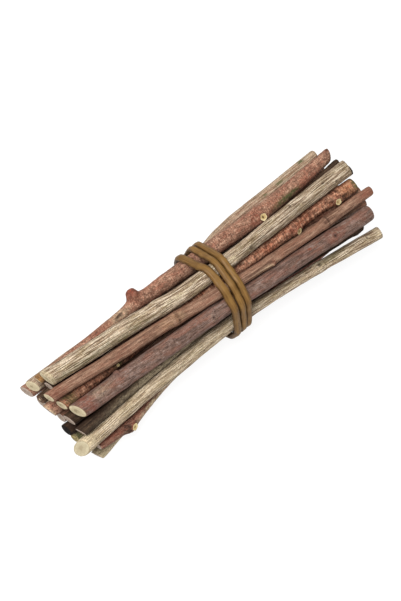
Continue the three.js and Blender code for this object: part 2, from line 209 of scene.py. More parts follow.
# Barks, each with its colours as 8-bit values seen in daylight, how much of each pattern it has, and its
# relief in millimetres. mottle is blotches, lines are thin pale and dark streaks along the twig, flecks
# are short dark ones, ticks are fine ridges across it, pores are pale dots, and grit is fine grain. lump
# is the twig's unevenness, depth, length and width are those of its furrows, and crease is the depth of
# the fine rings across it.
BARK_PARTS = (
    "dark", "base", "pale", "furrow", "tint",
    "mottle", "lines", "flecks", "ticks", "pores", "grit", "roughness",
    "lump", "depth", "length", "width", "crease",
)
BARKS = {
    "bark_red_brown": (
        (98, 68, 54), (146, 108, 88), (184, 152, 128), (84, 58, 46), (136, 88, 70),
        0.75, 0.05, 0.5, 0.5, 0.6, 0.85, 0.72,
        0.1, 0.05, 3, 0.7, 0.04,
    ),
    "bark_grey_green": (
        (120, 99, 77), (163, 141, 117), (206, 190, 167), (86, 67, 50), (146, 129, 98),
        0.5, 1.0, 0.5, 0.0, 0.0, 0.75, 0.85,
        0.12, 0.12, 11, 0.6, 0.0,
    ),
    "bark_rust": (
        (88, 50, 36), (156, 110, 86), (192, 155, 128), (78, 46, 34), (144, 86, 62),
        0.85, 0.1, 0.6, 1.0, 0.25, 0.85, 0.68,
        0.12, 0.05, 3, 0.7, 0.07,
    ),
    "bark_rose_tan": (
        (102, 74, 59), (132, 100, 81), (160, 130, 108), (86, 60, 48), (126, 86, 68),
        0.9, 0.5, 0.3, 0.1, 0.1, 0.5, 0.6,
        0.07, 0.03, 10, 0.9, 0.01,
    ),
    "bark_mauve": (
        (80, 61, 53), (111, 87, 75), (140, 122, 114), (66, 49, 42), (122, 82, 67),
        0.95, 0.3, 0.35, 0.1, 0.15, 0.55, 0.62,
        0.08, 0.03, 9, 0.9, 0.01,
    ),
    "bark_grey_tan": (
        (116, 92, 72), (158, 137, 114), (192, 175, 152), (88, 68, 51), (148, 118, 94),
        0.6, 0.7, 0.4, 0.1, 0.1, 0.75, 0.8,
        0.1, 0.07, 8, 0.6, 0.0,
    ),
    "bark_dark_brown": (
        (32, 22, 16), (58, 43, 31), (92, 73, 55), (28, 19, 14), (56, 38, 29),
        0.7, 0.5, 0.5, 0.0, 0.0, 0.7, 0.78,
        0.1, 0.1, 9, 0.8, 0.0,
    ),
    "bark_dark_red": (
        (80, 46, 36), (120, 76, 60), (168, 130, 110), (66, 36, 29), (110, 58, 45),
        0.7, 0.4, 0.4, 0.3, 0.2, 0.8, 0.7,
        0.1, 0.05, 4, 0.7, 0.04,
    ),
}

# Patterns of noise in the looks: stretch, scale per millimetre, detail, roughness and distortion
BARK_PATTERNS = {
    "patches": ((0.3, 1, 1), 0.4, 3, 0.6),
    "streaks": ((0.04, 1, 1), 3.3, 2, 0.5, 0.15),
    "flecks": ((0.4, 1, 1), 2.3, 2, 0.6),
    "ticks": ((1, 0.3, 0.3), 1.6, 2, 0.6),
    "grit": ((1, 1, 1), 2.5, 2, 0.7),
}
CUT_PATTERNS = {"blotches": ((1, 1, 1), 0.9, 4, 0.6), "fibres": ((1, 1, 1), 3.0, 3, 0.65)}
RUBBER_PATTERNS = {
    "lines": ((0.06, 1, 1), 1.9, 4, 0.55),
    "mottle": ((1, 1, 1), 0.35, 3, 0.55),
    "dust": ((1, 1, 1), 3.0, 3, 0.6),
}
# The bark's mottle is noise too, drawn out more the more lines the bark has. Its pores are cells.
MOTTLE = (1.05, 4, 0.65)
MOTTLE_STRETCH = 0.5
MOTTLE_DRAWN = 0.38
PORES_STRETCH = (1.35, 1, 1)
PORES_SCALE = 1.3

# Layers of colour from the bottom up: pattern, the values where it starts and where it is full, its
# share, the look's own amount that goes with it, and its colour
BARK_LAYERS = (
    ("mottle", 0.52, 0.72, 1, "mottle", "pale"),
    ("patches", 0.45, 0.62, 0.7, None, "tint"),
    # The furrow rows darken the bark's furrows, creases and rings, partly its own darker colour and partly
    # painted shade, and make the ridges paler
    ("furrow", 0.1, -0.8, 0.65, None, "furrow"),
    ("furrow", 0.4, 1.0, 0.4, None, "pale"),
    ("streaks", 0.53, 0.61, 1, "lines", "pale"),
    ("streaks", 0.47, 0.39, 0.85, "lines", "furrow"),
    ("pores", 0.34, 0.16, 1, "pores", "pale"),
    ("flecks", 0.44, 0.34, 1, "flecks", "furrow"),
)
CUT_LAYERS = (
    ("inward", 0.9, 0.6, 1, None, "ring"),
    ("fibres", 0.5, 0.7, 0.45, None, "heart"),
    ("inward", 0.36, 0.16, 0.8, None, "heart"),
    ("core", 0.92, 0.99, 1, None, "rim"),
)
# In the band's first two rows, the dark left at its edges is painted shade, and the pale on its outside is
# a painted highlight
RUBBER_LAYERS = (
    ("wear_and_shading", 0.55, 0.85, 1, None, "base"),
    ("wear_and_shading", 0.9, 1.1, 0.55, None, "pale"),
    ("mottle", 0.45, 0.65, 0.35, None, "pale"),
    ("dust", 0.55, 0.75, 0.3, None, "pale"),
)
# Where the bark's mottle turns from its dark colour to its base, and how the grit breaks up the paint
SOLID_AT = (0.36, 0.54)
PAINT_BROKEN = (0.35, 0.6, 0.55, 1)
# Span of the mottle over which the bark goes from rougher to smoother, and by how much
ROUGH_SPAN = (0.3, 0.7)
ROUGHER = 0.1
SMOOTHER = 0.08
# Shading of the bark: pattern, where it starts and is full, and how much darker and paler it makes it
BARK_SHADES = (("grit", 0.3, 0.7, 0.5, 0.5), ("ticks", 0.32, 0.68, 0.5, 0.4))
# Fine relief of the bark over its flecks: pattern, share, and the bark's own amount
BARK_HEIGHTS = (("grit", 0.6, None), ("ticks", 1, "ticks"), ("streaks", 1.5, "lines"))
# Spans of noise, and how far they shift the layers of a cut and of the band
CUT_SHIFT = (0.3, 0.7, -0.2, 0.2)
RUBBER_SHIFT = (0.35, 0.65, -0.18, 0.18)
# Roughness, which dust sets on the band, strength of highlights, and height of the finest relief in metres
CUT_ROUGHNESS = 0.8
FLOOR_ROUGHNESS = 0.9
RUBBER_ROUGHNESS = (0.3, 0.7, 0.42, 0.6)
BARK_SPECULAR = 0.12
CUT_SPECULAR = 0.1
RUBBER_SPECULAR = 0.25
BARK_BUMP = 0.00025
CUT_BUMP = 0.0003
RUBBER_BUMP = 0.0003

# Colours painted on the bark at marks
PAINTS = {
    # Pale bare wood, and also painted light on twigs that lie in shade
    "bare": (184, 168, 137),
    "ochre": (134, 102, 58),
    "blush": (116, 62, 47),
    # Stains, and also painted shade on twigs that lie in shade
    "stain_and_shade": (38, 25, 18),
    "lichen": (66, 75, 42),
}

# Colours of cut faces
CUT_PARTS = ("wood", "ring", "heart", "rim")
CUTS = {
    "fresh": ((206, 192, 160), (190, 175, 144), (146, 130, 102), (140, 118, 88)),
    "wear_and_shading": ((182, 171, 143), (170, 158, 131), (152, 138, 112), (146, 130, 102)),
    "torn": ((98, 72, 55), (70, 46, 35), (188, 168, 138), (58, 38, 29)),
    "grey": ((184, 168, 154), (164, 146, 132), (138, 120, 106), (108, 84, 70)),
    "olive": ((150, 136, 98), (126, 112, 78), (190, 176, 120), (84, 68, 46)),
    # The dark cut is painted shade, for an end that lies in shade
    "dark": ((22, 14, 10), (18, 12, 9), (16, 10, 8), (16, 10, 8)),
    "stub": ((218, 202, 156), (192, 170, 122), (128, 100, 66), (128, 96, 62)),
    "knot": ((226, 208, 164), (196, 170, 118), (60, 38, 26), (128, 92, 58)),
}
# The band's dark colour stands for painted shade at its edges, and its pale one is partly a painted
# highlight
RUBBER = {"dark": (74, 50, 20), "base": (102, 72, 32), "pale": (132, 99, 50)}

# Numbers of the twigs whose cuts are not fresh, of those whose side shoots have a dark heart, and of those
# that face the camera and get the finer meshes
CUT_TWIGS = {
    # The dark cut faces of twig 14 are painted shade
    "wear_and_shading": (5,), "torn": (9,), "dark": (14,), "olive": (15,),
    "grey": (8, 10, 11, 12, 13, 16, 17, 18, 19, 20),
}
KNOTTY_TWIGS = (1,)
NEAR_TWIGS = (1, 2, 3, 4, 5, 6, 7, 16, 17)

# What stands out on each twig, by its number: a kind and its values. x is along the row frame, and turn
# is round the twig in degrees, from straight up towards +Y.
# node: x, height and lean of a swollen joint right round the twig
# bud: x, turn, radius, height and flush (how red it is) of a closed bud
# stub: x, turn, radius, height and tilt (towards +X, in degrees) of a cut side shoot
# scar: x, turn, size and rim (how pale it is) of an old leaf's mark
# spur: x, turn, length and height of a thin ridge that ends in a bud
# A paint's name: x, turn, length, width and strength of a patch of it
MARKS = {
    1: [
        ("bud", -25.7, 46, 2.5, 2.0, 1.2),
        ("node", -25.7, 0.3, 0.2),
        ("stub", 36.7, -50, 1.75, 1.3, -12),
        ("node", 37.2, 0.25, -0.15),
        ("lichen", 47.8, -57, 4.5, 1.2, 0.9), ("lichen", 52.5, -62, 3, 0.8, 0.8),
        ("bare", -35.5, -20, 4.5, 3, 0.5),
        ("stain_and_shade", -35.9, -18, 1.1, 0.7, 0.9), ("stain_and_shade", -34.3, -11, 1.0, 0.8, 0.9),
        ("blush", 33.8, -46, 3, 2.2, 0.7), ("blush", -43, -10, 5, 2.2, 0.5),
        ("blush", 62, -60, 6, 1.6, 0.4),
        ("ochre", -75.5, -20, 6, 7, 0.9),
        ("stain_and_shade", 76, -10, 2.4, 9, 0.8),
    ],
    2: [
        ("node", -21.5, 0.22, 0.5),
        ("scar", 21.6, -54, 1.6, 0.3), ("scar", 44.6, 10, 1.3, 0.2), ("scar", 61.4, -13, 1.1, 0.3),
        ("scar", 67.1, -55, 1.2, 0.2),
        ("bare", 12.4, -30, 1.8, 0.7, 0.9), ("bare", -14.5, -25, 3.4, 0.7, 0.8),
        ("bare", -73.5, -27, 0.9, 14, 0.8),
        ("lichen", -50, -66, 26, 1.8, 0.4),
        # The first, long faint dark patch over the right half of twig 2 is painted shade
        ("stain_and_shade", 50, -27, 40, 9, 0.14), ("stain_and_shade", 24.5, -56, 6, 1.1, 0.5),
        ("stain_and_shade", 48, -50, 12, 1.6, 0.25),
        ("lichen", 77, -27, 1.4, 14, 0.4),
    ],
    3: [
        ("node", -19.1, 0.22, -0.35), ("node", 25.4, 0.2, 0.5), ("node", 54.3, 0.3, 0.2),
        ("spur", 25.4, -62, 15, 0.7),
        ("bud", 25.7, -66, 1.1, 0.7, 0.6),
        ("stain_and_shade", -19.1, -30, 0.35, 2.6, 0.8),
        ("bare", -17.2, -30, 1.2, 1.6, 0.15),
        ("stain_and_shade", 54.5, -14, 0.35, 2.6, 0.9), ("stain_and_shade", 53.1, -10, 0.2, 2.2, 0.6),
        ("blush", 75.5, -27, 4, 8, 0.5), ("blush", -74.5, -27, 3.5, 8, 0.4),
        ("ochre", -22, -27, 5, 2, 0.2),
    ],
    4: [
        ("node", -50.3, 0.2, 0.3), ("node", -5.8, 0.22, 0.3), ("node", 54.2, 0.2, 0.0),
        ("bud", -50.8, 28, 1.3, 0.8, 0.15),
        ("scar", 54.0, -29, 2.0, 0.15), ("scar", -6.8, -42, 1.4, 0.1),
        ("blush", -48.5, 16, 3, 1.2, 0.3), ("blush", 53.5, -30, 3.2, 2.6, 0.5),
        ("blush", -66.5, -22, 2.4, 9, 0.6), ("blush", 41.9, -11, 0.8, 0.4, 1),
        ("stain_and_shade", 47.5, -10, 1.2, 0.3, 0.8), ("stain_and_shade", 60.5, -20, 1.6, 0.3, 0.7),
        ("bare", -60, -5, 4, 1.6, 0.2),
    ],
    5: [
        ("node", 45.2, 0.16, 0.2),
        ("scar", 45.2, -8, 1.9, 1.0), ("scar", 68.7, -12, 1.1, 0.6),
        ("lichen", 52, 5, 5, 1.5, 0.5),
        ("bare", -74.5, -27, 3.6, 14, 0.9), ("bare", 74, -27, 1.4, 14, 0.5),
        # The long pale patch along twig 5 is painted light, brightening it where the twigs above it shade
        # it
        ("bare", -25, -30, 50, 3, 0.35),
    ],
    6: [
        ("node", 43.2, 0.3, -0.3), ("node", 64.7, 0.3, -0.3),
        ("stub", 42.9, -68, 1.5, 1.2, 14), ("stub", 64.5, -66, 1.6, 1.2, -10),
        ("lichen", -47.0, -40, 1.8, 1.4, 0.9),
        ("stub", -47.5, -50, 0.75, 0.5, 0),
        ("blush", 40.8, -52, 2.4, 1.4, 0.7),
        ("stain_and_shade", 67.2, -58, 2.4, 0.5, 0.8),
        ("lichen", -70.5, -13, 2.6, 4, 0.6),
        # The first, long dark patch over the left part of twig 6 is painted shade, where it lies under the
        # twig above it
        ("stain_and_shade", -48, -27, 28, 8, 0.55), ("stain_and_shade", 40.6, -56, 1.2, 1.6, 0.5),
        ("stain_and_shade", 62.3, -50, 1.2, 1.4, 0.6),
        ("ochre", 70.5, -27, 3.5, 3, 0.25),
        ("lichen", 74.3, -15, 0.9, 6, 0.9),
    ],
    7: [
        ("lichen", 64.9, 20, 1.1, 0.9, 1), ("lichen", 52.9, -14, 2.2, 0.6, 0.9),
        ("lichen", 44.5, -19, 1.5, 0.5, 0.8),
        ("blush", 30, -20, 22, 1.5, 0.35), ("blush", -70.5, -40, 3, 3, 0.6),
    ],
    10: [
        ("bare", -77.2, -27, 0.4, 12, 0.8),
        ("node", -61.5, 0.2, 0.2),
        ("blush", -70.5, -40, 2.6, 2.2, 0.8),
    ],
    12: [("node", 66.5, 0.5, 0.2)],
    # The dark patch on the left part of twig 13 is painted shade, where it lies under the twig above it
    13: [("node", -31.5, 0.2, 0.2), ("stain_and_shade", -62, -27, 16, 5, 0.5), ("bare", -36, -66, 22, 1.9, 0.5)],
    # The dark patch over the left end of twig 14 is painted shade, for an end that lies in shade
    14: [("stain_and_shade", -72, -27, 10, 16, 1.0)],
    15: [("lichen", -70, -27, 8, 9, 0.8)],
    16: [
        ("node", -53.5, 0.4, 0.2),
        ("stub", -53.3, -62, 1.65, 1.3, 16),
        ("stain_and_shade", -55.2, -56, 1.8, 1.8, 1.0), ("stain_and_shade", -51.3, -45, 1, 1.6, 0.6),
        ("bare", -30, -70, 19, 1.1, 0.9),
    ],
    # The large pale patch on twig 17 is painted light, where it lies in shade under the twig above it
    17: [("node", -46.5, 0.2, 0.2), ("bare", -60, -60, 24, 8, 1.0), ("lichen", -66.8, 0, 1.6, 3, 0.4)],
    18: [("lichen", -67, -27, 5, 5, 0.7)],
    19: [("node", -51.5, 0.2, 0.2), ("stain_and_shade", -73.5, -40, 2.4, 6, 0.5)],
    20: [("node", 28.5, 0.2, 0.2)],
}


def smooth(share):
    return share * share * (3 - 2 * share)


def gauss(distance, reach):
    return np.exp(-((distance / reach) ** 2))


def smoothed(values, spacing, reach):
    """Values along a line, blurred over that reach. The ends keep their slope."""
    half = int(3 * reach / spacing)
    weights = gauss(np.arange(-half, half + 1) * spacing, reach)
    before = 2 * values[0] - values[half:0:-1]
    after = 2 * values[-1] - values[-2 : -half - 2 : -1]
    padded = np.concatenate([before, values, after])
    return np.convolve(padded, weights / weights.sum(), "valid")


def linear(colour):
    """An 8-bit screen colour as the linear one that shaders take."""
    values = [c / 255 for c in colour]
    return tuple(c / 12.92 if c <= 0.04045 else ((c + 0.055) / 1.055) ** 2.4 for c in values) + (1.0,)


# The lines of the twigs, read from the frame


def mesh_arrays(node):
    """Corners of a CAD node in millimetres, each once, and its edges."""
    mesh = node.data
    corners = np.empty(3 * len(mesh.vertices))
    mesh.vertices.foreach_get("co", corners)
    edges = np.empty(2 * len(mesh.edges), int)
    mesh.edges.foreach_get("vertices", edges)
    rounded = np.round(corners.reshape(-1, 3) / MM, CORNER_DIGITS)
    single, place = np.unique(rounded, axis=0, return_inverse=True)
    return single, place.ravel()[edges].reshape(-1, 2)


def section(corners, edges, x):
    """Where the edges of a solid cross the plane at x, as y and z."""
    a, b = corners[edges[:, 0]], corners[edges[:, 1]]
    crossing = (a[:, 0] - x) * (b[:, 0] - x) < 0
    a, b = a[crossing], b[crossing]
    share = (x - a[:, 0]) / (b[:, 0] - a[:, 0])
    return (a + share[:, None] * (b - a))[:, 1:]


def nearest_circle(points):
    """Middle and radius of the circle that lies nearest to all the points."""
    rows = np.column_stack([2 * points, np.ones(len(points))])
    y, z, rest = np.linalg.lstsq(rows, (points**2).sum(1), rcond=None)[0]
    return y, z, math.sqrt(rest + y * y + z * z)


def fit_circle(points):
    """Middle and radius of the circle that most of the points lie on, without the side shoots."""
    kept = points
    for share in FIT_SHARES:
        y, z, radius = nearest_circle(kept)
        off = np.abs(np.hypot(points[:, 0] - y, points[:, 1] - z) - radius)
        kept = points[off <= max(np.quantile(off, share), FIT_TOLERANCE * radius)]
    return nearest_circle(kept)


def fit_end(corners):
    """The plane of a cut end: its x is the first number, plus the others times y and z."""
    rows = np.column_stack([np.ones(len(corners)), corners[:, 1:]])
    return np.linalg.lstsq(rows, corners[:, 0], rcond=None)[0]


class Line:
    """A twig's middle line, radius and cut ends, in millimetres."""

    def __init__(self, node):
        corners, edges = mesh_arrays(node)
        order = np.argsort(corners[:, 0])
        self.left = fit_end(corners[order[:END_CORNERS]])
        self.right = fit_end(corners[order[-END_CORNERS:]])
        low = corners[order[:END_CORNERS], 0].mean()
        high = corners[order[-END_CORNERS:], 0].mean()
        places = np.arange(low + SECTION_INSET, high - SECTION_INSET, SECTION_STEP)
        circles = np.array([fit_circle(section(corners, edges, x)) for x in places])
        self.x = np.arange(low - LINE_MARGIN, high + LINE_MARGIN, LINE_STEP)
        self.y, self.z, self.radius = (self.along(places, circles[:, i]) for i in range(3))
        self.low, self.high = low, high

    def along(self, places, values):
        """Values at the sections as smooth values along the line, which go on straight past the ends."""
        n = SLOPE_SECTIONS
        slope_low = (values[n] - values[0]) / (places[n] - places[0])
        slope_high = (values[-1] - values[-1 - n]) / (places[-1] - places[-1 - n])
        inside = np.interp(self.x, places, values)
        inside += slope_low * np.minimum(self.x - places[0], 0)
        inside += slope_high * np.maximum(self.x - places[-1], 0)
        return smoothed(inside, LINE_STEP, LINE_SMOOTHING)

    def at(self, x):
        """Middle y, middle z and radius at x."""
        return tuple(np.interp(x, self.x, values) for values in (self.y, self.z, self.radius))


# Noise over a twig's skin


def column_noise(rng, along, columns, cell):
    """Smooth random values from -1 to 1 along the twig, for each of the columns round it."""
    rows = int(np.ptp(along) / cell) + 4
    values = rng.uniform(-1, 1, (rows, columns))
    place = (along[:, None] - along.min()) / cell + rng.uniform(0, 1, columns)
    row = np.floor(place).astype(int)
    share = smooth(place - row)
    column = np.arange(columns)
    return values[row, column] * (1 - share) + values[row + 1, column] * share


class Skin:
    """The grid of a twig's side: its distance from the line, and the paint on it."""

    def __init__(self, line, bark, seed, sides, step):
        self.line = line
        self.rng = np.random.default_rng(seed)
        count = int((line.high - line.low) / step)
        self.along = np.linspace(line.low, line.high, count)
        self.turn = np.arange(sides) / sides
        self.middle_y, self.middle_z, self.base = line.at(self.along)
        self.mean = float(self.base.mean())
        self.lift = np.zeros((count, sides))
        self.paint = {name: np.zeros((count, sides)) for name in PAINTS}
        self.furrow = self.furrows(bark)
        self.lift += bark["lump"] * self.noise(*LUMPS)
        self.lift += bark["depth"] * self.furrow
        creases = self.noise(*CREASES)
        self.lift += bark["crease"] * creases
        self.furrow += CREASE_SHADE * bark["crease"] * creases

    def noise(self, columns, cell, wander=0.0):
        """Smooth random values over the skin, in columns round it that bend as much as wander says."""
        noise = column_noise(self.rng, self.along, columns, cell)
        drift = wander * column_noise(self.rng, self.along, 1, 2 * cell)
        place = (self.turn[None, :] + drift) * columns
        column = np.floor(place).astype(int)
        share = smooth(place - column)
        row = np.arange(len(self.along))[:, None]
        return noise[row, column % columns] * (1 - share) + noise[row, (column + 1) % columns] * share

    def furrows(self, bark):
        """Long ridges with narrow furrows between them, from about -1 to 1."""
        columns = int(2 * math.pi * self.mean / bark["width"])
        long = self.noise(columns, bark["length"], LONG_WANDER)
        short = self.noise(2 * columns, bark["length"] / 3, SHORT_WANDER)
        return LONG_SHARE * (1 - 2 * np.abs(long) ** FURROW_NARROWNESS) + SHORT_SHARE * short

    def offsets(self, x, turn):
        """How far each point of the skin is from a mark, along the twig and round it."""
        angle = (self.turn - (90 - turn) / 360 + 0.5) % 1 - 0.5
        return self.along[:, None] - x, 2 * math.pi * self.mean * angle[None, :]

    def distance(self, x, turn):
        """How far each point of the skin is from a mark."""
        return np.hypot(*self.offsets(x, turn))

    def add_node(self, x, height, lean):
        """A joint: a swelling right round the twig, with fine rings across it."""
        angle = 2 * math.pi * (self.turn[None, :] - self.rng.uniform())
        off = self.along[:, None] - x - lean * self.mean * np.sin(angle)
        self.lift += height * gauss(off, NODE_REACH)
        for place, width, depth in NODE_RINGS:
            self.lift -= depth * height * gauss(off - place, width)
        for place, width, shade in NODE_SHADES:
            self.furrow -= shade * gauss(off - place, width)

    def add_bud(self, x, turn, radius, height, flush):
        """A closed bud: a knob with uneven scales, as red as flush says."""
        distance = self.distance(x, turn)
        scales = self.noise(*SCALES)
        knob = np.exp(-((distance / radius) ** BUD_BLUNTNESS))
        self.lift += height * knob * (1 + BUD_UNEVEN * scales)
        self.lift += BUD_FOOT * height * gauss(distance, 2 * radius)
        self.paint["blush"] += flush * gauss(distance, 1.2 * radius)
        self.furrow -= BUD_GAP_SHADE * knob * np.clip(-scales, 0, 1)
        self.furrow -= BUD_RIM_SHADE * gauss(distance - radius, 0.3 * radius)

    def add_scar(self, x, turn, size, rim):
        """An old leaf's mark: a low rim, as pale as rim says, round a dark dimple."""
        distance = self.distance(x, turn)
        rings = np.cos(2 * math.pi * distance / (0.55 * size)) * gauss(distance, 1.1 * size)
        self.lift += SCAR_RIM * gauss(distance - 0.7 * size, 0.35 * size)
        self.lift -= SCAR_DIMPLE * gauss(distance, 0.4 * size)
        self.furrow -= SCAR_SHADE * rings
        self.paint["stain_and_shade"] += SCAR_STAIN * gauss(distance, 0.36 * size)
        broken = np.clip(self.noise(*SCALES) + SCAR_WHOLE, 0, 1)
        self.paint["bare"] += rim * broken * gauss(distance - 0.85 * size, 0.25 * size)

    def add_spur(self, x, turn, length, height):
        """A thin ridge along the twig that rises towards its bud at x, with painted shade in the furrow
        beside it.
        """
        dx, around = self.offsets(x, turn)
        share = smooth(np.clip(1 + dx / length, 0, 1)) * (dx < 0)
        ridge = share * gauss(around, SPUR_WIDTH)
        groove = share * gauss(around - GROOVE_PLACE, GROOVE_WIDTH)
        self.lift += height * (ridge - GROOVE_DEPTH * groove)
        self.paint["bare"] += SPUR_PALE * ridge
        # Painted shade in the furrow beside the ridge
        self.paint["stain_and_shade"] += GROOVE_SHADE * groove

    def add_collar(self, x, turn, radius, height, tilt):
        """The swollen, wrinkled foot of a side shoot, pulled the way that the shoot leans."""
        x = x - math.sin(math.radians(tilt)) * radius
        distance = self.distance(x, turn)
        wrinkles = np.cos(2 * math.pi * distance / WRINKLE_SPACING) * gauss(distance, 2.4 * radius)
        self.lift += COLLAR_HEIGHT * height * gauss(distance, 1.7 * radius)
        self.lift += WRINKLE_HEIGHT * wrinkles
        self.furrow += WRINKLE_SHADE * wrinkles

    def add_patch(self, kind, x, turn, length, width, strength):
        """A patch of colour with a broken edge."""
        dx, around = self.offsets(x, turn)
        broken = self.noise(*BREAKS)
        full = PATCH_MIDDLE * gauss(np.hypot(dx / length, around / width), 1.0)
        self.paint[kind] += strength * np.clip(full * (1 + broken), 0, 1)

    def add_mark(self, kind, *values):
        adders = {
            "node": self.add_node, "bud": self.add_bud, "scar": self.add_scar, "spur": self.add_spur,
            "stub": self.add_collar,
        }
        if kind in adders:
            adders[kind](*values)
        else:
            self.add_patch(kind, *values)

    def corners(self):
        """The grid's points, with the ends cut at their slant and their edges a little worn."""
        angle = 2 * math.pi * self.turn[None, :]
        from_left = self.along[:, None] - self.line.low
        from_right = self.line.high - self.along[:, None]
        wear_and_shading = gauss(from_left, CUT_EDGE) + gauss(from_right, CUT_EDGE)
        radius = self.base[:, None] + self.lift - CUT_WEAR * wear_and_shading
        y = self.middle_y[:, None] + radius * np.cos(angle)
        z = self.middle_z[:, None] + radius * np.sin(angle)
        z = np.maximum(z, LOWEST)
        lean_left = self.lean(self.line.left, y[0], z[0]) - self.line.low
        lean_right = self.lean(self.line.right, y[-1], z[-1]) - self.line.high
        x = self.along[:, None] + lean_left * np.clip(1 - from_left / SLANT_REACH, 0, 1)
        x = x + lean_right * np.clip(1 - from_right / SLANT_REACH, 0, 1)
        return np.stack([x, y, z], axis=-1)

    @staticmethod
    def lean(plane, y, z):
        """The x of a cut end's plane at y and z."""
        return plane[0] + plane[1] * y + plane[2] * z


# Meshes


class Pieces:
    """Corners, faces and attributes of one mesh, gathered part by part."""

    NAMES = ("furrow", "core", *PAINTS)

    def __init__(self):
        self.corners = []
        self.grain = []
        self.values = {name: [] for name in self.NAMES}
        self.faces = {4: [], 3: []}
        self.places = {4: [], 3: []}
        self.count = 0

    def add_corners(self, corners, grain, **values):
        """Adds points and returns the number of the first. Values not given are 0."""
        first = self.count
        self.corners.append(corners)
        self.grain.append(grain)
        for name in self.NAMES:
            value = np.broadcast_to(values.get(name, 0.0), (len(corners),))
            self.values[name].append(value)
        self.count += len(corners)
        return first

    def add_faces(self, faces, place):
        """Adds faces that all have four corners, or all three."""
        sides = faces.shape[1]
        self.faces[sides].append(faces)
        self.places[sides] += [place] * len(faces)

    def add_tube(self, first, rows, columns, place, closed=False):
        """Faces between rings of points. A closed tube joins its last ring to its first."""
        i = np.arange(rows if closed else rows - 1)[:, None]
        j = np.arange(columns)[None, :]
        k = (j + 1) % columns
        below, above = i * columns, ((i + 1) % rows) * columns
        quads = np.stack([below + j, below + k, above + k, above + j], axis=-1).reshape(-1, 4)
        self.add_faces(first + quads, place)

    def add_cap(self, ring, middle, inner, columns, place, facing_back):
        """Closes a ring of points with smaller rings and a middle point."""
        loops = [ring] + [inner + n * columns + np.arange(columns) for n in range(len(CAP_RINGS))]
        for outer, next_one in zip(loops, loops[1:]):
            quads = np.stack([outer, np.roll(outer, -1), np.roll(next_one, -1), next_one], axis=-1)
            self.add_faces(quads[:, ::-1] if facing_back else quads, place)
        last = loops[-1]
        fan = np.stack([np.full(columns, middle), last, np.roll(last, -1)], axis=-1)
        self.add_faces(fan[:, ::-1] if facing_back else fan, place)

    def mesh(self, name, materials):
        """The Blender mesh of all that was added, in metres."""
        corners = np.concatenate(self.corners) * MM
        quads = np.concatenate(self.faces[4])
        triangles = np.concatenate([np.empty((0, 3), int), *self.faces[3]])
        sizes = np.concatenate([np.full(len(quads), 4), np.full(len(triangles), 3)])
        loops = np.concatenate([quads.ravel(), triangles.ravel()])
        mesh = bpy.data.meshes.new(name)
        mesh.vertices.add(len(corners))
        mesh.vertices.foreach_set("co", corners.ravel())
        mesh.loops.add(len(loops))
        mesh.loops.foreach_set("vertex_index", loops)
        mesh.polygons.add(len(sizes))
        mesh.polygons.foreach_set("loop_start", np.concatenate([[0], np.cumsum(sizes)[:-1]]))
        mesh.polygons.foreach_set("material_index", self.places[4] + self.places[3])
        for material in materials:
            mesh.materials.append(material)
        mesh.update(calc_edges=True)
        mesh.validate()
        mesh.shade_smooth()
        mesh.set_sharp_from_angle(angle=math.radians(SHARP_ANGLE))
        grain = mesh.attributes.new("grain", "FLOAT_VECTOR", "POINT")
        grain.data.foreach_set("vector", np.concatenate(self.grain).ravel())
        for value_name, parts in self.values.items():
            attribute = mesh.attributes.new(value_name, "FLOAT", "POINT")
            attribute.data.foreach_set("value", np.concatenate(parts))
        return mesh


def add_piece(name, mesh, node):
    """Puts a mesh in the scene in place of its CAD node."""
    piece = bpy.data.objects.new(name, mesh)
    bpy.context.scene.collection.objects.link(piece)
    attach(piece, "root")
    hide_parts(node)


def cap_points(rim, rng, bulge):
    """Rings of points from a cut's rim to its heart, which is a little off its middle."""
    middle = rim.mean(axis=0)
    across = rim - middle
    normal = np.cross(across[0], across[len(across) // 4])
    normal /= np.linalg.norm(normal)
    heart = middle + HEART_OFF * across[int(rng.integers(len(rim)))]
    rings = []
    for share in CAP_RINGS:
        rough = rng.normal(0, CUT_UNEVEN, len(rim)) + bulge * (1 - share * share)
        rings.append(heart + share * (rim - heart) + rough[:, None] * normal)
    return np.concatenate(rings), heart + bulge * normal


def add_cut(pieces, ring, rim, rng, offset, facing_back, bulge=CUT_BULGE, place=CUT_PLACE):
    """The cut face at a ring of points that is already there."""
    columns = len(rim)
    points, middle = cap_points(rim, rng, -bulge if facing_back else bulge)
    share = np.repeat(CAP_RINGS, columns)
    inner = pieces.add_corners(points, points + offset, core=share)
    last = pieces.add_corners(middle[None, :], middle[None, :] + offset, core=0.0)
    pieces.add_cap(ring, last, inner, columns, place, facing_back)


def cut_kind(number):
    """Which kind of cut face a twig has."""
    return next((kind for kind, numbers in CUT_TWIGS.items() if number in numbers), "fresh")


